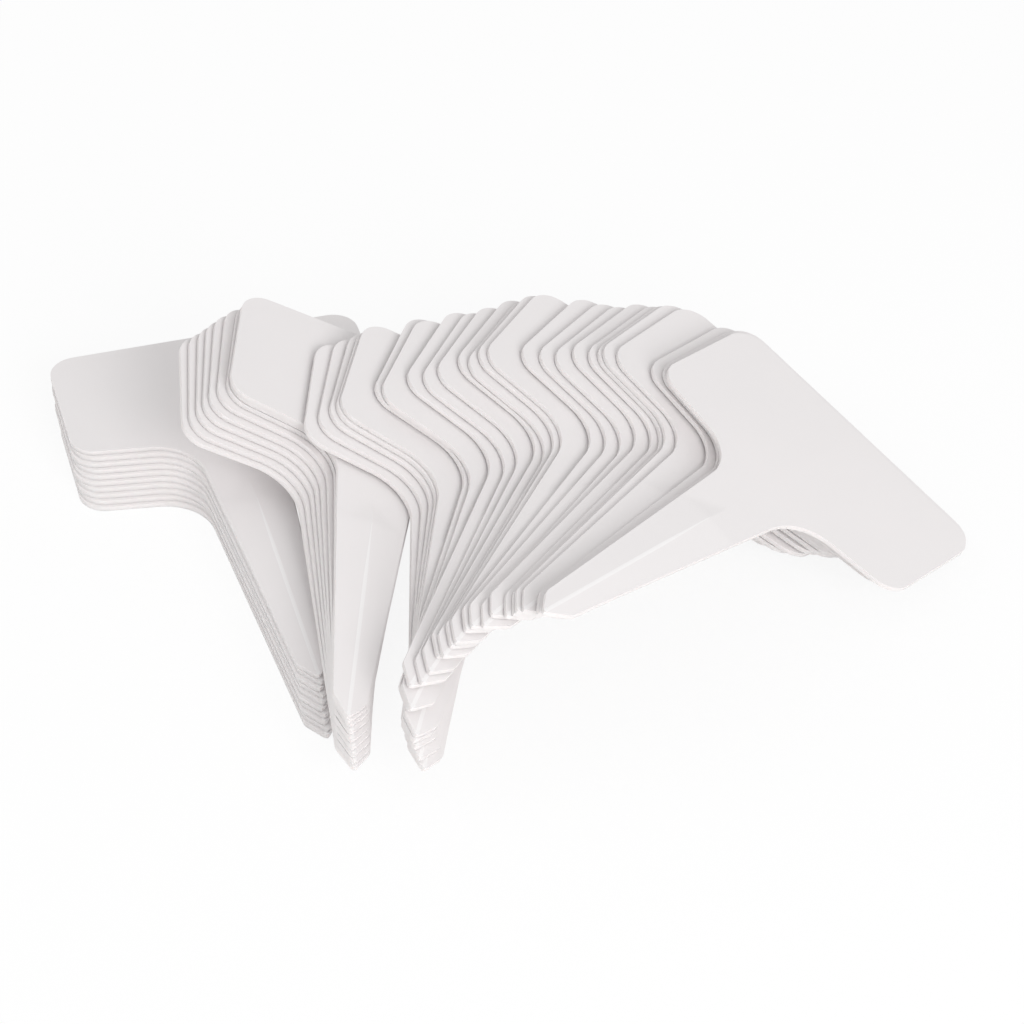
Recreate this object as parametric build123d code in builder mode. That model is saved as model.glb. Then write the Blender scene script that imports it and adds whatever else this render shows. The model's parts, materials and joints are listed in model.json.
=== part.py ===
from build123d import *
from math import atan2, cos, hypot, radians, sin
import os

# A pack of T-shaped plant labels as it lies on a table: a neat flat stack at the left and two
# leaning fans that rest on the stack and on the table. Millimetres, +Z up, the origin under the
# middle of the lowest label's head.

# One label, punched from plastic sheet, with a crease along its stem
head_width = 60.0
head_height = 28.3
label_length = 100.0
sheet_thickness = 0.9
head_corner_radius = 5.0
head_edge_fall = 3.05
neck_radius = 10.0
neck_half_width = 8.05
shoulder_half_width = 3.15
shoulder_height = 4.8
shoulder_radius = 2.0
tip_radius = 0.5
crease_rise = 0.6
crease_full_height = 49.5
crease_fade_length = 6.0
crease_margin = 0.3
crease_tip_overrun = 2.0
crease_point_size = 0.02

# The flat stack
stack_count = 10
stack_gap = 0.05
stack_first_turn = 15.0
stack_last_turn = 15.3
stack_push_back = 6.2
stack_push_left = 1.4
stack_stray = 0.35
stack_stray_shares = [0, 0.6, -0.2, 0.3, -0.7, 0.1, 0.5, -0.4, 0.6, 0]

# What both leaning fans share
fan_gap = 0.1
fan_lean = 24.8
fan_bearing = -4.7
fan_datum_x = 54.5
fan_datum_y = -21.2
rest_gap = 0.05

# The left fan, its turns measured in the leaning plane. A label's place there is its tip's distance
# down the slope, and across the slope where its head's middle would be if it weren't turned.
left_count = 9
left_first_turn = 10.0
left_last_turn = 1.8
left_first_down = -21.75
left_first_across = 7.05
left_last_down = -27.2
left_last_across = 9.75
left_slip = 0.6
left_turn_shares = [0, 0.14, 0.29, 0.42, 0.55, 0.71, 0.89, 0.98, 1]
left_slip_shares = [-0.3, -0.5, -0.2, 0, 0.2, 0.8, 1, 0, -1]

# The right fan, which is opened further and unevenly
right_count = 26
right_first_turn = 1.3
right_last_turn = -35.6
right_first_down = -12.3
right_first_across = 1.05
right_middle_down = -18.4
right_middle_across = 12.15
right_last_down = -4.0
right_last_across = 19.25
right_slip = 3.3
right_turn_shares = [
    0, 0.07, 0.13, 0.16, 0.17, 0.33, 0.35, 0.45, 0.47, 0.5, 0.55, 0.57, 0.58,
    0.6, 0.7, 0.75, 0.77, 0.81, 0.82, 0.83, 0.84, 0.87, 0.96, 0.98, 0.99, 1,
]
right_slip_shares = [
    0.3, 0.24, 0.15, 0, 0, -0.24, -0.75, -0.55, -0.65, -0.33, 0.24, -0.2, 0.3,
    0.2, 0.3, 0.12, 0, 0.6, 0.5, 0.48, 0.33, 0.2, 0.06, -0.1, -0.27, -1,
]

head_half = head_width / 2
stem_length = label_length - head_height
head_middle = stem_length + head_height / 2
crease_start_height = crease_full_height + crease_fade_length
# the head's lower edges fall towards the neck
neck_height = stem_length - head_edge_fall
edge_angle = atan2(head_edge_fall, head_half - neck_half_width)
low_corner_height = stem_length + head_corner_radius * (1 - sin(edge_angle)) / cos(edge_angle)


def stem_half_width(height):
    """Half the stem's width at a height above the tip, between the shoulder and the neck."""
    slope = (neck_half_width - shoulder_half_width) / (neck_height - shoulder_height)
    return shoulder_half_width + slope * (height - shoulder_height)


def crease_form(base_height):
    """The low roof-shaped solid that the creased stem is bent over, its base at a height."""
    # the crease keeps one angle, so it gets lower where the stem gets narrower
    full_half = stem_half_width(crease_full_height) - crease_margin
    tip_half = stem_half_width(-crease_tip_overrun) - crease_margin
    tip_rise = crease_rise * tip_half / full_half
    sections = (
        (-crease_tip_overrun, tip_half, tip_rise),
        (crease_full_height, full_half, crease_rise),
        (crease_start_height, crease_point_size, crease_point_size),
    )
    with BuildPart() as form:
        for height, half, rise in sections:
            with BuildSketch(Plane.XZ.offset(-height)):
                with BuildLine():
                    left = (-half, base_height)
                    right = (half, base_height)
                    ridge = (0, base_height + rise)
                    Polyline(left, right, ridge, close=True)
                make_face()
        loft(ruled=True)
    return form.part


def flat_outline():
    """The punched outline of a label in the XY plane, its tip at the origin."""
    right_side = [
        (shoulder_half_width, shoulder_height),
        (neck_half_width, neck_height),
        (head_half, stem_length),
        (head_half, label_length),
    ]
    left_side = [(-x, y) for x, y in reversed(right_side)]
    with BuildSketch(Plane.XY) as outline:
        with BuildLine():
            Polyline((0, 0), *right_side, *left_side, close=True)
        make_face()
        # the rows of corners, from the tip up: tip, shoulders, neck, head's lower and upper corners
        rows = outline.vertices().group_by(Axis.Y)
        fillet(rows[3] + rows[4], radius=head_corner_radius)
        fillet(outline.vertices().group_by(Axis.Y)[2], radius=neck_radius)
        fillet(outline.vertices().group_by(Axis.Y)[1], radius=shoulder_radius)
        fillet(outline.vertices().group_by(Axis.Y)[0], radius=tip_radius)
    return outline.sketch


def blank_label():
    """A label at the origin: its underside on z = 0, its tip at the origin, its head along +Y."""
    with BuildPart() as ridge:
        add(flat_outline())
        extrude(amount=sheet_thickness + crease_rise)
        add(crease_form(sheet_thickness), mode=Mode.INTERSECT)
    with BuildPart() as blank:
        add(flat_outline())
        extrude(amount=sheet_thickness)
        add(ridge.part)
        add(crease_form(0), mode=Mode.SUBTRACT)
    return blank.part


def stack_seat(index):
    """The plane that the underside of a label of the flat stack lies in."""
    share = index / (stack_count - 1)
    turn = stack_first_turn + share * (stack_last_turn - stack_first_turn)
    stray = stack_stray * stack_stray_shares[index]
    # the lowest head's middle is over the origin
    tip_x = head_middle * sin(radians(stack_first_turn)) - share * stack_push_left + stray
    tip_y = share * stack_push_back - head_middle * cos(radians(stack_first_turn))
    return Plane(
        origin=(tip_x, tip_y, index * (sheet_thickness + stack_gap)),
        x_dir=(cos(radians(turn)), sin(radians(turn)), 0),
        z_dir=(0, 0, 1),
    )


# The leaning plane: down its slope, level across it, and square to it
lean_square = Vector(
    sin(radians(fan_lean)) * cos(radians(fan_bearing)),
    sin(radians(fan_lean)) * sin(radians(fan_bearing)),
    cos(radians(fan_lean)),
)
lean_across = Vector(-sin(radians(fan_bearing)), cos(radians(fan_bearing)), 0)
lean_down = lean_across.cross(lean_square)
fan_datum = Vector(fan_datum_x, fan_datum_y, 0)

# The first leaning label rests on the flat stack's top label, on the rounded right corner of its
# head or on its right shoulder, whichever stands further into the leaning plane
top_seat = stack_seat(stack_count - 1)
head_corner = top_seat.from_local_coords(
    (head_half - head_corner_radius, low_corner_height, sheet_thickness)
)
shoulder = top_seat.from_local_coords((shoulder_half_width, shoulder_height, sheet_thickness))
corner_reach = head_corner_radius * hypot(lean_square.X, lean_square.Y)
corner_offset = (head_corner - fan_datum).dot(lean_square) + corner_reach
shoulder_offset = (shoulder - fan_datum).dot(lean_square)
first_offset = max(corner_offset, shoulder_offset) + rest_gap


# The crease's slope, the same on both of its sides
crease_slope = crease_rise / (stem_half_width(crease_full_height) - crease_margin)


def fan_places(first_turn, last_turn, turn_shares, slip, slip_shares, tips):
    """Each label of a fan in the leaning plane: its turn and its tip, down the slope and across it."""
    places = []
    for index in range(len(turn_shares)):
        turn = first_turn + turn_shares[index] * (last_turn - first_turn)
        tip = tips(index)
        slide = slip * slip_shares[index]
        places.append((turn, tip.X - slide * sin(radians(turn)), tip.Y + slide * cos(radians(turn))))
    return places


def spot(place, height):
    """A point on a label's middle line, at a height above its tip, in the leaning plane."""
    turn, down, across = place
    return down - height * sin(radians(turn)), across + height * cos(radians(turn))


def crease_gap(lower, upper):
    """How far the crease of one label keeps up the next, which is moved or turned over it."""
    moves = []
    for height in (0, crease_full_height):
        lower_spot, upper_spot = spot(lower, height), spot(upper, height)
        moves.append(hypot(upper_spot[0] - lower_spot[0], upper_spot[1] - lower_spot[1]))
    return min(crease_rise, crease_slope * max(moves))


def fan_axes(turn):
    """The directions sideways on a leaning label and along it, towards its head."""
    angle = radians(turn)
    sideways = lean_down * cos(angle) + lean_across * sin(angle)
    along = lean_across * cos(angle) - lean_down * sin(angle)
    return sideways, along


def held_up(offset, place):
    """A label's place, moved up the slope if its lowest corner would go below the table."""
    turn, down, across = place
    sideways, along = fan_axes(turn)
    lowest = min(
        (sideways * (head_half - head_corner_radius) + along * height).Z
        for height in (low_corner_height, label_length - head_corner_radius)
    )
    # the head's corners are rounded
    lowest = lowest - head_corner_radius * sin(radians(fan_lean))
    at_table = (offset * lean_square.Z + lowest) / sin(radians(fan_lean))
    return turn, min(down, at_table), across


def fan_seat(offset, place):
    """The plane that the underside of a leaning label lies in."""
    turn, down, across = place
    sideways, along = fan_axes(turn)
    origin = fan_datum + lean_square * offset + lean_down * down + lean_across * across
    return Plane(origin=origin, x_dir=sideways, z_dir=lean_square)


# Where every label lies
with BuildLine() as left_tips:
    Line(
        (left_first_down, left_first_across - head_middle),
        (left_last_down, left_last_across - head_middle),
    )
with BuildLine() as right_tips:
    ThreePointArc(
        (right_first_down, right_first_across - head_middle),
        (right_middle_down, right_middle_across - head_middle),
        (right_last_down, right_last_across - head_middle),
    )

left_places = fan_places(
    left_first_turn, left_last_turn, left_turn_shares, left_slip, left_slip_shares,
    lambda index: left_tips.line @ (index / (left_count - 1)),
)
right_places = fan_places(
    right_first_turn, right_last_turn, right_turn_shares, right_slip, right_slip_shares,
    lambda index: right_tips.line @ right_turn_shares[index],
)
fan_names = [f"left_fan_label_{index + 1:02d}" for index in range(left_count)]
fan_names += [f"right_fan_label_{index + 1:02d}" for index in range(right_count)]

seats = {}
for index in range(stack_count):
    seats[f"stack_label_{index + 1:02d}"] = stack_seat(index)
offset = first_offset
below = None
for name, place in zip(fan_names, left_places + right_places):
    if below:
        offset += sheet_thickness + fan_gap
    place = held_up(offset, place)
    if below:
        offset += crease_gap(below, place)
    seats[name] = fan_seat(offset, place)
    below = place

# The labels, each its own piece
os.makedirs("parts", exist_ok=True)
blank = blank_label()
for name, seat in seats.items():
    with BuildPart(seat) as label:
        add(blank)
    label.part.label = name
    export_step(label.part, f"parts/{name}.step")
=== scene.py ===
"""The fanned pile of white plant labels, dressed for rendering over its CAD frame."""

import json
import math

import bpy
import numpy as np
from bpy.props import FloatProperty, FloatVectorProperty, IntProperty, StringProperty
from mathutils import Matrix, Vector


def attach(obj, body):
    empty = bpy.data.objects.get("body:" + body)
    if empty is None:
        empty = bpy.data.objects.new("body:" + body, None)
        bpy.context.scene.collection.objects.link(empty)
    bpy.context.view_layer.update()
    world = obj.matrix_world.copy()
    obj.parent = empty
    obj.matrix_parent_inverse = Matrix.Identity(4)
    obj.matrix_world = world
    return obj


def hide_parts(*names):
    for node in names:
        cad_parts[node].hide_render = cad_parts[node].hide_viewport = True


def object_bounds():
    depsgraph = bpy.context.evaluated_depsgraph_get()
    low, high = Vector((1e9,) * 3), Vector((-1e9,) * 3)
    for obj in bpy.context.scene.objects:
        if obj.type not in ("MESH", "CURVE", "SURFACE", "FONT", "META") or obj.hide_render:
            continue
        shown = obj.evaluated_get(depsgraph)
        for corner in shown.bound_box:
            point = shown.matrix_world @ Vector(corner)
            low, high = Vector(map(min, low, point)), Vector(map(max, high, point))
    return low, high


bl_info = {
    "name": "Plant label pile",
    "version": (1, 0, 0),
    "blender": (4, 5, 0),
    "location": "3D View > Sidebar > Labels",
    "description": "Punches T-shaped plant labels and lays them over their CAD solids",
    "category": "Object",
}

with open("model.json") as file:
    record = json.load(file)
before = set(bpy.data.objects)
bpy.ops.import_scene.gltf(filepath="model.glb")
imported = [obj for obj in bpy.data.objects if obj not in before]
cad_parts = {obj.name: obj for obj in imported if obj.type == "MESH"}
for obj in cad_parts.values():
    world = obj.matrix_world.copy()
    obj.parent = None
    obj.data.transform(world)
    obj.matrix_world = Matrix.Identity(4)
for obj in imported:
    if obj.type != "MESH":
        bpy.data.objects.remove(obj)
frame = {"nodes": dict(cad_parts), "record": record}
CAD_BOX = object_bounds()
MM = 0.001


def rgba(hex_colour):
    """An sRGB hex colour as the linear colour that Blender's sockets take."""
    parts = [int(hex_colour[i : i + 2], 16) / 255 for i in (1, 3, 5)]
    return tuple(c / 12.92 if c <= 0.04045 else ((c + 0.055) / 1.055) ** 2.4 for c in parts) + (1.0,)


def length(name, description, millimetres):
    """A length property in metres, with its default given in millimetres."""
    return FloatProperty(
        name=name, description=description, default=millimetres * MM, min=0.0, unit="LENGTH", precision=5
    )


class LabelSizes(bpy.types.PropertyGroup):
    """The sizes of one punched label."""

    head_width: length("Head width", "Across the writing head", 60.0)
    head_height: length("Head height", "Of the writing head at its two ends", 28.3)
    head_edge_fall: length("Head edge fall", "Of the head's lower edges towards the neck", 3.05)
    label_length: length("Label length", "From the point's sharp end to the top edge", 100.0)
    sheet_thickness: length("Sheet thickness", "Of the plastic sheet", 0.9)
    head_corner_radius: length("Head corner radius", "Of the head's four corners", 5.0)
    neck_radius: length("Neck radius", "Of the inner corners between stem and head", 10.0)
    neck_half_width: length("Neck half width", "Of the stem where it meets the head", 8.05)
    shoulder_half_width: length("Shoulder half width", "Of the stem above its point", 3.15)
    shoulder_height: length("Shoulder height", "Of the pointed end", 4.8)
    shoulder_radius: length("Shoulder radius", "Of the two corners above the point", 2.0)
    tip_radius: length("Tip radius", "Of the very point", 0.5)
    crease_rise: length("Crease rise", "Of the stem's crease above the flat sheet", 0.6)
    crease_full_height: length("Full crease height", "Where the crease is highest", 49.5)
    crease_start_height: length("Crease start height", "Where the crease fades out under the head", 55.5)
    crease_margin: length("Crease margin", "Flat strip left beside the crease", 0.3)
    # the crease softness rounds the crease's ridge, and the ridge's strip is painted lighter as a
    # highlight; the ridge fade narrows both to a hairline
    crease_softness: length("Crease softness", "Half width of the crease's whitened ridge", 0.35)
    ridge_fade: length("Ridge fade", "Over which the whitened ridge narrows to a hairline", 14.0)
    edge_rounding: length("Edge rounding", "Of the punched edge, upper and lower", 0.03)
    stations: IntProperty(
        name="Stations", description="Rows of faces from the tip to the top edge", default=200, min=40
    )


class SheetFinish(bpy.types.PropertyGroup):
    """The white plastic's colours and its surface."""

    face_light: StringProperty(
        name="Face, light", description="sRGB hex of the sheet's lighter patches", default="#EEEAEA"
    )
    face_dark: StringProperty(
        name="Face, dark", description="sRGB hex of the sheet's darker patches", default="#E9E6E6"
    )
    edge_colour: StringProperty(
        name="Punched edge", description="sRGB hex of the cut edge", default="#E4E0DF"
    )
    # the ridge colour is a painted highlight along the crease's ridge
    ridge_highlight_colour: StringProperty(
        name="Ridge", description="sRGB hex of the crease's whitened ridge", default="#F3F1F1"
    )
    glow_depth: length("Glow depth", "How far light spreads inside the cut edge", 1.0)
    glow_share: FloatProperty(
        name="Glow share", description="Share of the edge's light that spreads inside", default=0.5,
        min=0.0, max=1.0,
    )
    ior: FloatProperty(name="IOR", description="Of rigid PVC", default=1.53)
    roughness: FloatProperty(
        name="Roughness", description="Of the calendered face", default=0.42, min=0.0, max=1.0
    )
    grain: length("Grain", "Spacing of the calender roll's fine grain", 0.3)
    ripple: length("Ripple", "Spacing of the sheet's slow unevenness", 26.0)


class StageSettings(bpy.types.PropertyGroup):
    """The camera, the lamps and the floor."""

    target: FloatVectorProperty(
        name="Target", description="Point on the table that the camera looks at",
        default=(0.0545, -0.0212, 0.0), unit="LENGTH",
    )
    elevation: FloatProperty(
        name="Elevation", description="Of the camera above the table", default=math.radians(40.6),
        subtype="ANGLE",
    )
    distance: FloatProperty(
        name="Distance", description="From the camera to its target", default=0.784, unit="LENGTH"
    )
    lens: FloatProperty(
        name="Lens", description="Focal length on a 36 mm sensor, in millimetres", default=147.8
    )
    key_power: FloatProperty(name="Key lamp", description="Watts of the lamp in front", default=5.4)
    fill_power: FloatProperty(
        name="Fill lamp", description="Watts of the lamp over the left", default=1.5
    )
    sky: FloatProperty(name="Sky", description="Strength of the even light from all round", default=0.62)
    floor_colour: StringProperty(name="Floor", description="sRGB hex of the floor", default="#FCFCFC")
    floor_glow: FloatProperty(
        name="Floor glow", description="Share of plain white in the floor as the camera sees it",
        default=0.88, min=0.0, max=1.0,
    )


def add_node(tree, kind, inputs=None, **settings):
    """Add one node with its settings, and fill or link its inputs by name or number."""
    node = tree.nodes.new(kind)
    for key, value in settings.items():
        setattr(node, key, value)
    for key, value in (inputs or {}).items():
        if isinstance(value, bpy.types.NodeSocket):
            tree.links.new(value, node.inputs[key])
        else:
            node.inputs[key].default_value = value
    return node


# Materials


def start_material(name):
    """A new material with its node tree and its shader."""
    material = bpy.data.materials.new(name)
    material.use_nodes = True
    return material, material.node_tree, material.node_tree.nodes["Principled BSDF"]


def calendered_sheet(finish):
    """Rigid PVC sheet, rolled between satin calender rolls.

    It is an even, faintly warm white with a soft sheen. The rolls leave a fine grain, 0.3 mm apart,
    and the thin sheet is never quite flat, so the sheen wanders slowly over some 26 mm. Handling
    leaves faint hairline scuffs that only show in the sheen.
    """
    name = "calendered_white_pvc_sheet"
    if name in bpy.data.materials:
        return bpy.data.materials[name]
    material, tree, shader = start_material(name)
    place = add_node(tree, "ShaderNodeTexCoord").outputs["Object"]
    # slow patches, a shade lighter or darker
    patches = add_node(
        tree, "ShaderNodeTexNoise", {"Vector": place, "Scale": 1 / finish.ripple, "Detail": 2.0}
    )
    tint = add_node(
        tree, "ShaderNodeMix",
        {"Factor": patches.outputs["Fac"], "A": rgba(finish.face_dark), "B": rgba(finish.face_light)},
        data_type="RGBA",
    )
    tree.links.new(tint.outputs[2], shader.inputs["Base Color"])
    # hairline scuffs, about 25 mm long and 1 mm wide
    along = add_node(
        tree, "ShaderNodeMapping",
        {"Vector": place, "Rotation": (0.3, 0.2, 0.5), "Scale": (40.0, 1200.0, 900.0)},
    )
    scuffs = add_node(
        tree, "ShaderNodeTexNoise",
        {"Vector": along.outputs["Vector"], "Scale": 1.0, "Detail": 3.0, "Roughness": 0.7},
    )
    scuff_starts, scuff_full, scuff_roughness = 0.56, 0.72, 0.12
    marks = add_node(
        tree, "ShaderNodeMapRange",
        {
            "Value": scuffs.outputs["Fac"], "From Min": scuff_starts, "From Max": scuff_full,
            "To Min": 0.0, "To Max": scuff_roughness,
        },
    )
    sheen = add_node(
        tree, "ShaderNodeMath", {0: marks.outputs["Result"], 1: finish.roughness}, operation="ADD"
    )
    tree.links.new(sheen.outputs[0], shader.inputs["Roughness"])
    shader.inputs["IOR"].default_value = finish.ior
    # the calender's grain over the slow ripple
    ripple_depth, grain_depth = 0.6 * MM, 0.02 * MM
    grain = add_node(
        tree, "ShaderNodeTexNoise", {"Vector": place, "Scale": 1 / finish.grain, "Detail": 1.0}
    )
    waves = add_node(
        tree, "ShaderNodeBump",
        {"Height": patches.outputs["Fac"], "Strength": 0.25, "Distance": ripple_depth},
    )
    bump = add_node(
        tree, "ShaderNodeBump",
        {
            "Height": grain.outputs["Fac"], "Normal": waves.outputs["Normal"], "Strength": 0.12,
            "Distance": grain_depth,
        },
    )
    tree.links.new(bump.outputs["Normal"], shader.inputs["Normal"])
    return material


def punched_edge(finish):
    """The cut edge of the same sheet, sheared by a punch and die.

    It is matt and a little rough, so it shows no sheen and reads a shade darker than the face. Light
    spreads a millimetre inside the sheet and softens it, and close up it has fine shear marks.
    """
    name = "punched_white_pvc_edge"
    if name in bpy.data.materials:
        return bpy.data.materials[name]
    material, tree, shader = start_material(name)
    shader.inputs["Base Color"].default_value = rgba(finish.edge_colour)
    shader.inputs["Roughness"].default_value = 0.6
    shader.inputs["IOR"].default_value = finish.ior
    shader.inputs["Subsurface Weight"].default_value = finish.glow_share
    shader.inputs["Subsurface Radius"].default_value = (1.0, 0.92, 0.9)
    shader.inputs["Subsurface Scale"].default_value = finish.glow_depth
    place = add_node(tree, "ShaderNodeTexCoord").outputs["Object"]
    shear_spacing, shear_depth = 0.15 * MM, 0.02 * MM
    marks = add_node(
        tree, "ShaderNodeTexNoise", {"Vector": place, "Scale": 1 / shear_spacing, "Detail": 2.0}
    )
    bump = add_node(
        tree, "ShaderNodeBump",
        {"Height": marks.outputs["Fac"], "Strength": 0.3, "Distance": shear_depth},
    )
    tree.links.new(bump.outputs["Normal"], shader.inputs["Normal"])
    return material


def ridge_highlight(finish):
    """The same sheet along its crease, painted lighter as a highlight on the ridge, and duller.

    The painted highlight is a line up to 0.7 mm wide. It shows as a thin pale line down the stem.
    """
    name = "painted_ridge_highlight_pvc"
    if name in bpy.data.materials:
        return bpy.data.materials[name]
    material, tree, shader = start_material(name)
    shader.inputs["Base Color"].default_value = rgba(finish.ridge_highlight_colour)
    shader.inputs["IOR"].default_value = finish.ior
    place = add_node(tree, "ShaderNodeTexCoord").outputs["Object"]
    crazing_spacing = 0.4 * MM
    crazing = add_node(
        tree, "ShaderNodeTexNoise", {"Vector": place, "Scale": 1 / crazing_spacing, "Detail": 2.0}
    )
    dull = add_node(
        tree, "ShaderNodeMapRange", {"Value": crazing.outputs["Fac"], "To Min": 0.5, "To Max": 0.7}
    )
    tree.links.new(dull.outputs["Result"], shader.inputs["Roughness"])
    return material


# The label


# half a label's mesh has columns 0 to 8 from spine to rim over the top, and as many back underneath
LAST_COLUMN = 8
CORNER_POINTS = 12
# the share of the rim's length from which on the rows fan out into the head
NECK_SHARE = 0.44
# the most of a row that the ridge's strip or the edge's rounding may take
STRIP_SHARE = 0.3
HAIRLINE = 0.05 * MM
# in metres: what a row's length and the crease's base are kept above, and the welding distance
LEAST_SPAN, LEAST_BASE, WELD = 1e-7, 1e-5, 2e-6
SHARP_ANGLE = math.radians(25)
# the upright part of a face's normal, under which it is cut edge and over which it may take the ridge's
# painted highlight
EDGE_UPRIGHT, HIGHLIGHT_UPRIGHT = 0.85, 0.9


def rounded_tip_end(sizes):
    """How far the rounded point ends above the sharp one."""
    half_angle = math.atan(sizes.shoulder_half_width / sizes.shoulder_height)
    return sizes.tip_radius / math.sin(half_angle) - sizes.tip_radius


def corner_line(sizes):
    """Half of the label's outline as a line of sharp corners, each with the radius it is rounded to."""
    slope = sizes.shoulder_half_width / sizes.shoulder_height
    tip_end = rounded_tip_end(sizes)
    stem_length = sizes.label_length - sizes.head_height
    head_half = sizes.head_width / 2
    corners = (
        (0.0, tip_end, 0.0),
        (tip_end * slope, tip_end, sizes.tip_radius),
        (sizes.shoulder_half_width, sizes.shoulder_height, sizes.shoulder_radius),
        (sizes.neck_half_width, stem_length - sizes.head_edge_fall, sizes.neck_radius),
        (head_half, stem_length, sizes.head_corner_radius),
        (head_half, sizes.label_length, sizes.head_corner_radius),
        (0.0, sizes.label_length, 0.0),
    )
    mesh = bpy.data.meshes.new("label_corner_line")
    mesh.from_pydata(
        [(x, y, 0.0) for x, y, _ in corners], [(i, i + 1) for i in range(len(corners) - 1)], []
    )
    radius = mesh.attributes.new("corner_radius", "FLOAT", "POINT")
    for item, (_, _, r) in zip(radius.data, corners):
        item.value = r
    return bpy.data.objects.new("label_corner_line", mesh)


def label_values(sizes):
    """What the label's tree is given, by the names of its inputs."""
    return {
        "Sheet Thickness": sizes.sheet_thickness,
        "Crease Rise": sizes.crease_rise,
        "Crease Full Height": sizes.crease_full_height,
        "Crease Start Height": sizes.crease_start_height,
        "Crease Margin": sizes.crease_margin,
        "Crease Softness": sizes.crease_softness,
        "Ridge Fade Height": sizes.crease_full_height - sizes.ridge_fade,
        "Edge Rounding": sizes.edge_rounding,
        "Shoulder Height": sizes.shoulder_height,
        "Shoulder Half Width": sizes.shoulder_half_width,
        "Neck Height": sizes.label_length - sizes.head_height - sizes.head_edge_fall,
        "Neck Half Width": sizes.neck_half_width,
        "Label Length": sizes.label_length,
    }


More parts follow.
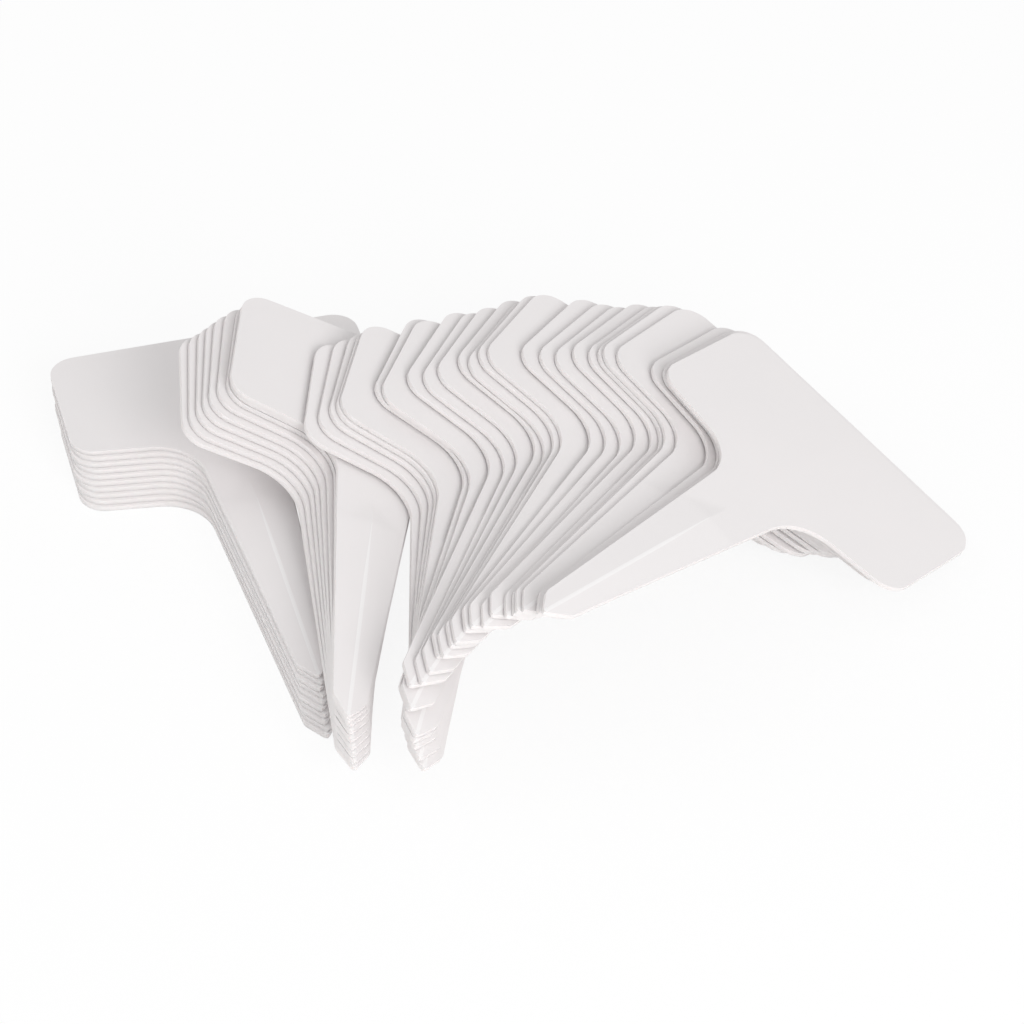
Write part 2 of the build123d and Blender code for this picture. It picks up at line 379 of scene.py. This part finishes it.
def label_tree(names, face_material, edge_material, ridge_highlight_material, stations):
    """Geometry nodes that round half an outline, skin it over a crease and mirror the closed sheet."""
    tree = bpy.data.node_groups.new("Punched label", "GeometryNodeTree")
    tree.interface.new_socket("Geometry", in_out="INPUT", socket_type="NodeSocketGeometry")
    for name in names:
        tree.interface.new_socket(name, in_out="INPUT", socket_type="NodeSocketFloat")
    tree.interface.new_socket("Geometry", in_out="OUTPUT", socket_type="NodeSocketGeometry")
    size = add_node(tree, "NodeGroupInput").outputs

    # the rounded rim, from the tip round the shoulder, neck and head to the middle of the top edge
    line = add_node(tree, "GeometryNodeMeshToCurve", {"Mesh": size["Geometry"]})
    radius = add_node(
        tree, "GeometryNodeInputNamedAttribute", {"Name": "corner_radius"}, data_type="FLOAT"
    )
    rim = add_node(
        tree, "GeometryNodeFilletCurve",
        {"Curve": line.outputs["Curve"], "Radius": radius.outputs["Attribute"], "Count": CORNER_POINTS},
        mode="POLY",
    )

    # a grid, nine columns over the top from spine to rim and nine back underneath
    turning = LAST_COLUMN + 0.5
    grid = add_node(
        tree, "GeometryNodeMeshGrid",
        {"Size X": 1.0, "Size Y": 1.0, "Vertices X": 2 * (LAST_COLUMN + 1), "Vertices Y": stations},
    )
    spot = add_node(tree, "GeometryNodeInputPosition")
    spot_parts = add_node(tree, "ShaderNodeSeparateXYZ", {0: spot.outputs[0]})
    column = add_node(
        tree, "ShaderNodeMath", {0: spot_parts.outputs[0], 1: 2 * turning, 2: turning},
        operation="MULTIPLY_ADD",
    )
    along = add_node(tree, "ShaderNodeMath", {0: spot_parts.outputs[1], 1: 0.5}, operation="ADD")
    from_rim = add_node(
        tree, "ShaderNodeMath", {0: column.outputs[0], 1: turning}, operation="SUBTRACT"
    )
    from_rim_size = add_node(tree, "ShaderNodeMath", {0: from_rim.outputs[0]}, operation="ABSOLUTE")
    across = add_node(
        tree, "ShaderNodeMath", {0: turning, 1: from_rim_size.outputs[0]}, operation="SUBTRACT"
    )
    on_top = add_node(tree, "ShaderNodeMath", {0: from_rim.outputs[0], 1: 0.0}, operation="LESS_THAN")
    at_rim = add_node(
        tree, "ShaderNodeMath", {0: across.outputs[0], 1: LAST_COLUMN - 0.5}, operation="GREATER_THAN"
    )
    at_spine = add_node(tree, "ShaderNodeMath", {0: across.outputs[0], 1: 0.5}, operation="LESS_THAN")

    # where each row meets the rim, and where it starts on the label's middle line
    rim_point = add_node(
        tree, "GeometryNodeSampleCurve",
        {"Curves": rim.outputs["Curve"], "Factor": along.outputs[0]}, mode="FACTOR",
    )
    rim_parts = add_node(tree, "ShaderNodeSeparateXYZ", {0: rim_point.outputs["Position"]})
    neck_point = add_node(
        tree, "GeometryNodeSampleCurve", {"Curves": rim.outputs["Curve"], "Factor": NECK_SHARE},
        mode="FACTOR",
    )
    neck_parts = add_node(tree, "ShaderNodeSeparateXYZ", {0: neck_point.outputs["Position"]})
    head_spine = add_node(
        tree, "ShaderNodeMapRange",
        {
            "Value": along.outputs[0], "From Min": NECK_SHARE, "From Max": 1.0,
            "To Min": neck_parts.outputs[1], "To Max": size["Label Length"],
        },
    )
    in_head = add_node(
        tree, "ShaderNodeMath", {0: along.outputs[0], 1: NECK_SHARE}, operation="GREATER_THAN"
    )
    spine_y = add_node(
        tree, "ShaderNodeMix",
        {"Factor": in_head.outputs[0], "A": rim_parts.outputs[1], "B": head_spine.outputs["Result"]},
    )
    spine_point = add_node(tree, "ShaderNodeCombineXYZ", {"Y": spine_y.outputs[0]})
    span = add_node(
        tree, "ShaderNodeVectorMath",
        {0: rim_point.outputs["Position"], 1: spine_point.outputs[0]}, operation="DISTANCE",
    )

    # column 1 stands beside the crease's ridge, the last but one beside the cut edge's rounding
    most = add_node(
        tree, "ShaderNodeMath", {0: span.outputs["Value"], 1: STRIP_SHARE}, operation="MULTIPLY"
    )
    pointed = add_node(
        tree, "ShaderNodeMapRange",
        {
            "Value": spine_y.outputs[0],
            "From Min": size["Ridge Fade Height"], "From Max": size["Crease Full Height"],
            "To Min": size["Crease Softness"], "To Max": HAIRLINE,
        },
    )
    soft = add_node(
        tree, "ShaderNodeMath", {0: pointed.outputs["Result"], 1: most.outputs[0]}, operation="MINIMUM"
    )
    rounding = add_node(
        tree, "ShaderNodeMath", {0: size["Edge Rounding"], 1: most.outputs[0]}, operation="MINIMUM"
    )
    reach = add_node(
        tree, "ShaderNodeMath", {0: span.outputs["Value"], 1: rounding.outputs[0]}, operation="SUBTRACT"
    )
    inner = add_node(
        tree, "ShaderNodeMapRange",
        {
            "Value": across.outputs[0], "From Min": 1.0, "From Max": LAST_COLUMN - 1,
            "To Min": soft.outputs[0], "To Max": reach.outputs[0],
        },
    )
    not_spine = add_node(tree, "ShaderNodeMath", {0: 1.0, 1: at_spine.outputs[0]}, operation="SUBTRACT")
    inner_off = add_node(
        tree, "ShaderNodeMath", {0: inner.outputs["Result"], 1: not_spine.outputs[0]},
        operation="MULTIPLY",
    )
    distance = add_node(
        tree, "ShaderNodeMix",
        {"Factor": at_rim.outputs[0], "A": inner_off.outputs[0], "B": span.outputs["Value"]},
    )
    least = add_node(
        tree, "ShaderNodeMath", {0: span.outputs["Value"], 1: LEAST_SPAN}, operation="MAXIMUM"
    )
    share = add_node(
        tree, "ShaderNodeMath", {0: distance.outputs[0], 1: least.outputs[0]}, operation="DIVIDE"
    )
    flat = add_node(
        tree, "ShaderNodeMix",
        {"Factor": share.outputs[0], "A": spine_point.outputs[0], "B": rim_point.outputs["Position"]},
        data_type="VECTOR",
    )
    flat_parts = add_node(tree, "ShaderNodeSeparateXYZ", {0: flat.outputs[1]})

    # the crease: a low roof as wide as the stem, which keeps its angle and ends in a point under the head
    bases = []
    for place_along in (flat_parts.outputs[1], size["Crease Full Height"]):
        stem_half = add_node(
            tree, "ShaderNodeMapRange",
            {
                "Value": place_along,
                "From Min": size["Shoulder Height"], "From Max": size["Neck Height"],
                "To Min": size["Shoulder Half Width"], "To Max": size["Neck Half Width"],
            },
            clamp=False,
        )
        bases.append(add_node(
            tree, "ShaderNodeMath", {0: stem_half.outputs["Result"], 1: size["Crease Margin"]},
            operation="SUBTRACT",
        ))
    stem_base, full_base = bases
    base = add_node(
        tree, "ShaderNodeMath", {0: stem_base.outputs[0], 1: full_base.outputs[0]}, operation="MINIMUM"
    )
    fade = add_node(
        tree, "ShaderNodeMapRange",
        {
            "Value": flat_parts.outputs[1],
            "From Min": size["Crease Full Height"], "From Max": size["Crease Start Height"],
            "To Min": 1.0, "To Max": 0.0,
        },
    )
    base_now = add_node(
        tree, "ShaderNodeMath", {0: base.outputs[0], 1: fade.outputs["Result"]}, operation="MULTIPLY"
    )
    base_safe = add_node(
        tree, "ShaderNodeMath", {0: base_now.outputs[0], 1: LEAST_BASE}, operation="MAXIMUM"
    )
    slope = add_node(
        tree, "ShaderNodeMath", {0: size["Crease Rise"], 1: full_base.outputs[0]}, operation="DIVIDE"
    )
    outwards = add_node(tree, "ShaderNodeMath", {0: flat_parts.outputs[0]}, operation="ABSOLUTE")
    inwards = add_node(
        tree, "ShaderNodeMath", {0: base_safe.outputs[0], 1: outwards.outputs[0]}, operation="SUBTRACT"
    )
    under_roof = add_node(tree, "ShaderNodeMath", {0: inwards.outputs[0], 1: 0.0}, operation="MAXIMUM")
    crease = add_node(
        tree, "ShaderNodeMath", {0: under_roof.outputs[0], 1: slope.outputs[0]}, operation="MULTIPLY"
    )

    # the sheet's thickness and its rounded edge
    rim_round = add_node(
        tree, "ShaderNodeMath", {0: at_rim.outputs[0], 1: rounding.outputs[0]}, operation="MULTIPLY"
    )
    upper = add_node(
        tree, "ShaderNodeMath", {0: size["Sheet Thickness"], 1: rim_round.outputs[0]},
        operation="SUBTRACT",
    )
    side = add_node(
        tree, "ShaderNodeMix",
        {"Factor": on_top.outputs[0], "A": rim_round.outputs[0], "B": upper.outputs[0]},
    )
    height = add_node(
        tree, "ShaderNodeMath", {0: crease.outputs[0], 1: side.outputs[0]}, operation="ADD"
    )
    place = add_node(
        tree, "ShaderNodeCombineXYZ",
        {"X": flat_parts.outputs[0], "Y": flat_parts.outputs[1], "Z": height.outputs[0]},
    )
    half = add_node(
        tree, "GeometryNodeSetPosition",
        {"Geometry": grid.outputs["Mesh"], "Position": place.outputs[0]},
    )

    # the other half, and one closed skin
    other = add_node(
        tree, "GeometryNodeTransform", {"Geometry": half.outputs[0], "Scale": (-1.0, 1.0, 1.0)}
    )
    turned = add_node(tree, "GeometryNodeFlipFaces", {"Mesh": other.outputs[0]})
    both = add_node(tree, "GeometryNodeJoinGeometry")
    tree.links.new(half.outputs[0], both.inputs[0])
    tree.links.new(turned.outputs[0], both.inputs[0])
    closed = add_node(
        tree, "GeometryNodeMergeByDistance", {"Geometry": both.outputs[0], "Distance": WELD}
    )
    angle = add_node(tree, "GeometryNodeInputMeshEdgeAngle")
    bent = add_node(
        tree, "FunctionNodeCompare", {0: angle.outputs["Unsigned Angle"], 1: SHARP_ANGLE},
        operation="LESS_THAN",
    )
    smooth_faces = add_node(
        tree, "GeometryNodeSetShadeSmooth", {"Geometry": closed.outputs[0], "Shade Smooth": True}
    )
    smooth = add_node(
        tree, "GeometryNodeSetShadeSmooth",
        {"Geometry": smooth_faces.outputs[0], "Shade Smooth": bent.outputs[0]}, domain="EDGE",
    )
    real = add_node(tree, "GeometryNodeRealizeInstances", {"Geometry": smooth.outputs[0]})
    face = add_node(
        tree, "GeometryNodeSetMaterial", {"Geometry": real.outputs[0], "Material": face_material}
    )
    facing = add_node(tree, "GeometryNodeInputNormal")
    facing_parts = add_node(tree, "ShaderNodeSeparateXYZ", {0: facing.outputs[0]})
    upright = add_node(tree, "ShaderNodeMath", {0: facing_parts.outputs[2]}, operation="ABSOLUTE")
    is_edge = add_node(
        tree, "FunctionNodeCompare", {0: upright.outputs[0], 1: EDGE_UPRIGHT}, operation="LESS_THAN"
    )
    edge = add_node(
        tree, "GeometryNodeSetMaterial",
        {"Geometry": face.outputs[0], "Selection": is_edge.outputs[0], "Material": edge_material},
    )
    # the ridge's strip: the faces beside the spine where the crease stands up, which are painted lighter
    # as a highlight
    where = add_node(tree, "GeometryNodeInputPosition")
    where_parts = add_node(tree, "ShaderNodeSeparateXYZ", {0: where.outputs[0]})
    off_spine = add_node(tree, "ShaderNodeMath", {0: where_parts.outputs[0]}, operation="ABSOLUTE")
    beside = add_node(
        tree, "FunctionNodeCompare", {0: off_spine.outputs[0], 1: size["Crease Softness"]},
        operation="LESS_THAN",
    )
    creased = add_node(
        tree, "FunctionNodeCompare", {0: where_parts.outputs[1], 1: size["Crease Full Height"]},
        operation="LESS_THAN",
    )
    above = add_node(
        tree, "FunctionNodeCompare", {0: facing_parts.outputs[2], 1: HIGHLIGHT_UPRIGHT},
        operation="GREATER_THAN",
    )
    on_crease = add_node(
        tree, "FunctionNodeBooleanMath", {0: beside.outputs[0], 1: creased.outputs[0]}, operation="AND"
    )
    on_ridge_highlight = add_node(
        tree, "FunctionNodeBooleanMath", {0: on_crease.outputs[0], 1: above.outputs[0]}, operation="AND"
    )
    ridge = add_node(
        tree, "GeometryNodeSetMaterial",
        {"Geometry": edge.outputs[0], "Selection": on_ridge_highlight.outputs[0], "Material": ridge_highlight_material},
    )
    add_node(tree, "NodeGroupOutput", {0: ridge.outputs[0]})
    return tree


def blank_label(context):
    """One label's mesh: underside on z = 0, its point's sharp end at the origin, its head along +Y."""
    name = "blank_label"
    if name in bpy.data.meshes:
        return bpy.data.meshes[name]
    sizes, finish = context.scene.label_sizes, context.scene.sheet_finish
    piece = corner_line(sizes)
    context.scene.collection.objects.link(piece)
    values = label_values(sizes)
    tree = label_tree(
        values, calendered_sheet(finish), punched_edge(finish), ridge_highlight(finish), sizes.stations
    )
    modifier = piece.modifiers.new("Punched label", "NODES")
    modifier.node_group = tree
    for item in tree.interface.items_tree:
        if item.in_out == "INPUT" and item.name in values:
            modifier[item.identifier] = values[item.name]
    context.view_layer.update()
    shown = piece.evaluated_get(context.evaluated_depsgraph_get())
    mesh = bpy.data.meshes.new_from_object(shown)
    mesh.name = name
    piece.modifiers.remove(modifier)
    bpy.data.objects.remove(piece)
    return mesh


def seat_of(node, sizes):
    """Where a label lies: the matrix that takes a label from the origin onto its CAD solid.

    The head's broad flat faces give the plane, their longer direction is across the head, and the
    point is the solid's furthest end.
    """
    solid = frame["nodes"][node].data
    places = np.array([v.co for v in solid.vertices])
    solid.calc_loop_triangles()
    corners = places[np.array([t.vertices for t in solid.loop_triangles])]
    cross = np.cross(corners[:, 1] - corners[:, 0], corners[:, 2] - corners[:, 0])
    areas = np.linalg.norm(cross, axis=1) / 2
    least_area = 1e-12
    normals = cross / np.maximum(2 * areas, least_area)[:, None]
    upper = np.where(normals[:, 2] > 0, areas, 0)
    square = normals[upper.argmax()]
    same_way = 0.99999
    broad = normals @ square > same_way
    weights = areas[broad]
    middles = corners[broad].mean(1)
    centre = (middles * weights[:, None]).sum(0) / weights.sum()
    offsets = corners[broad] - centre
    middle_offsets = middles - centre
    # a triangle's area spreads as its three corners do and nine times its middle
    middle_share = 9
    spread = np.einsum("t,tci,tcj->ij", weights, offsets, offsets)
    spread += middle_share * np.einsum("t,ti,tj->ij", weights, middle_offsets, middle_offsets)
    sideways = np.linalg.eigh(spread)[1][:, -1]
    towards_head = np.cross(square, sideways)
    ends = (places - centre) @ towards_head
    if abs(ends.max()) > abs(ends.min()):
        towards_head, sideways, ends = -towards_head, -sideways, -ends
    tip = towards_head * (ends.min() - rounded_tip_end(sizes))
    underside = square * ((places - centre) @ square).min()
    origin = centre + tip + underside
    axes = Matrix((sideways, towards_head, square)).transposed()
    return Matrix.Translation(Vector(origin)) @ axes.to_4x4()


def lay_labels(context, group):
    """Lay a label over every CAD solid of a group, each riding on its own body."""
    blank = blank_label(context)
    sizes = context.scene.label_sizes
    for body, nodes in frame["record"]["behaviour"]["bodies"].items():
        for node in nodes:
            if not node.startswith(group):
                continue
            mesh = blank.copy()
            mesh.name = f"punched_{node}"
            mesh.transform(seat_of(node, sizes))
            piece = bpy.data.objects.new(f"punched_{node}", mesh)
            context.scene.collection.objects.link(piece)
            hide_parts(node)
            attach(piece, body)


class PLANTLABELS_OT_flat_stack(bpy.types.Operator):
    """Lay the flat stack at the left"""

    bl_idname = "plant_labels.flat_stack"
    bl_label = "Flat stack"

    def execute(self, context):
        lay_labels(context, "stack_label")
        return {"FINISHED"}


class PLANTLABELS_OT_left_fan(bpy.types.Operator):
    """Lay the left fan, which leans on the flat stack"""

    bl_idname = "plant_labels.left_fan"
    bl_label = "Left fan"

    def execute(self, context):
        lay_labels(context, "left_fan_label")
        return {"FINISHED"}


class PLANTLABELS_OT_right_fan(bpy.types.Operator):
    """Lay the right fan, which is opened out over the table"""

    bl_idname = "plant_labels.right_fan"
    bl_label = "Right fan"

    def execute(self, context):
        lay_labels(context, "right_fan_label")
        return {"FINISHED"}


def area_lamp(context, name, place, target, size, power):
    """A square soft lamp at a place, turned to a target."""
    data = bpy.data.lights.new(name, "AREA")
    data.shape = "SQUARE"
    data.size = size
    data.energy = power
    lamp = bpy.data.objects.new(name, data)
    lamp.location = place
    lamp.rotation_euler = (target - place).to_track_quat("-Z", "Y").to_euler()
    context.scene.collection.objects.link(lamp)


def white_card(hex_colour, glow):
    """Matt white studio card, lit from behind until it is nearly white.

    The glow leaves only a faint shadow of the pile on it.
    """
    material, tree, shader = start_material("matt_white_card")
    shader.inputs["Base Color"].default_value = rgba(hex_colour)
    shader.inputs["Roughness"].default_value = 0.9
    shader.inputs["Specular IOR Level"].default_value = 0.1
    # only the camera sees the glow, so it puts no light on the pile
    seen = add_node(tree, "ShaderNodeLightPath").outputs["Is Camera Ray"]
    share = add_node(tree, "ShaderNodeMath", {0: seen, 1: glow}, operation="MULTIPLY")
    light = add_node(tree, "ShaderNodeEmission", {"Color": rgba("#FFFFFF"), "Strength": 1.0})
    both = add_node(
        tree, "ShaderNodeMixShader", {0: share.outputs[0], 1: shader.outputs[0], 2: light.outputs[0]}
    )
    tree.links.new(both.outputs[0], tree.nodes["Material Output"].inputs["Surface"])
    return material


class PLANTLABELS_OT_stage(bpy.types.Operator):
    """Set up the floor, the sky, the lamps and the camera"""

    bl_idname = "plant_labels.stage"
    bl_label = "Stage"

    def execute(self, context):
        scene, settings = context.scene, context.scene.stage_settings
        target = Vector(settings.target)
        mesh = bpy.data.meshes.new("floor")
        half_side = 3.0
        corners = [(x * half_side, y * half_side, 0) for x, y in ((-1, -1), (1, -1), (1, 1), (-1, 1))]
        mesh.from_pydata(corners, [], [(0, 1, 2, 3)])
        mesh.materials.append(white_card(settings.floor_colour, settings.floor_glow))
        floor = bpy.data.objects.new("floor", mesh)
        clearance = 0.02 * MM
        floor.location.z = CAD_BOX[0].z - clearance
        scene.collection.objects.link(floor)

        # white where it is seen or mirrored, and a plain even light elsewhere
        world = bpy.data.worlds.new("studio")
        world.use_nodes = True
        scene.world = world
        tree = world.node_tree
        rays = add_node(tree, "ShaderNodeLightPath").outputs
        seen = add_node(
            tree, "ShaderNodeMath", {0: rays["Is Camera Ray"], 1: rays["Is Transmission Ray"]},
            operation="MAXIMUM",
        )
        mirrored = add_node(
            tree, "ShaderNodeMath", {0: seen.outputs[0], 1: rays["Is Glossy Ray"]}, operation="MAXIMUM"
        )
        strength = add_node(
            tree, "ShaderNodeMapRange",
            {"Value": mirrored.outputs[0], "To Min": settings.sky, "To Max": 1.0},
        )
        sky = tree.nodes["Background"]
        sky.inputs["Color"].default_value = rgba("#FFFFFF")
        tree.links.new(strength.outputs["Result"], sky.inputs["Strength"])

        for name, offset, size, power in (
            ("key_lamp", (0.37, -0.8, 0.47), 0.5, settings.key_power),
            ("fill_lamp", (-0.75, 0.0, 0.66), 0.7, settings.fill_power),
        ):
            area_lamp(context, name, target + Vector(offset), target, size, power)

        data = bpy.data.cameras.new("photo_camera")
        data.sensor_width = 36.0
        data.lens = settings.lens
        data.clip_start, data.clip_end = 0.01, 20.0
        camera = bpy.data.objects.new("photo_camera", data)
        back = Vector((0, -math.cos(settings.elevation), math.sin(settings.elevation)))
        camera.location = target + back * settings.distance
        camera.rotation_euler = (math.pi / 2 - settings.elevation, 0, 0)
        scene.collection.objects.link(camera)
        scene.camera = camera
        scene.view_settings.view_transform = "Standard"
        return {"FINISHED"}


class PLANTLABELS_PT_pile(bpy.types.Panel):
    """The pile's sizes, finish and stage"""

    bl_idname = "PLANTLABELS_PT_pile"
    bl_label = "Plant label pile"
    bl_space_type = "VIEW_3D"
    bl_region_type = "UI"
    bl_category = "Labels"

    def draw(self, context):
        layout, scene = self.layout, context.scene
        for group in (scene.label_sizes, scene.sheet_finish, scene.stage_settings):
            box = layout.box()
            for name in group.__annotations__:
                box.prop(group, name)
        for operator in OPERATORS:
            layout.operator(operator.bl_idname)


OPERATORS = (
    PLANTLABELS_OT_flat_stack,
    PLANTLABELS_OT_left_fan,
    PLANTLABELS_OT_right_fan,
    PLANTLABELS_OT_stage,
)
GROUPS = {"label_sizes": LabelSizes, "sheet_finish": SheetFinish, "stage_settings": StageSettings}


def register():
    for group in (*GROUPS.values(), *OPERATORS, PLANTLABELS_PT_pile):
        bpy.utils.register_class(group)
    for name, group in GROUPS.items():
        setattr(bpy.types.Scene, name, bpy.props.PointerProperty(type=group))


def unregister():
    for name in GROUPS:
        delattr(bpy.types.Scene, name)
    for group in reversed((*GROUPS.values(), *OPERATORS, PLANTLABELS_PT_pile)):
        bpy.utils.unregister_class(group)


def main():
    """Make the whole scene."""
    register()
    bpy.ops.plant_labels.flat_stack()
    bpy.ops.plant_labels.left_fan()
    bpy.ops.plant_labels.right_fan()
    bpy.ops.plant_labels.stage()
    bpy.data.meshes.remove(bpy.data.meshes["blank_label"])


if __name__ == "__main__":
    main()
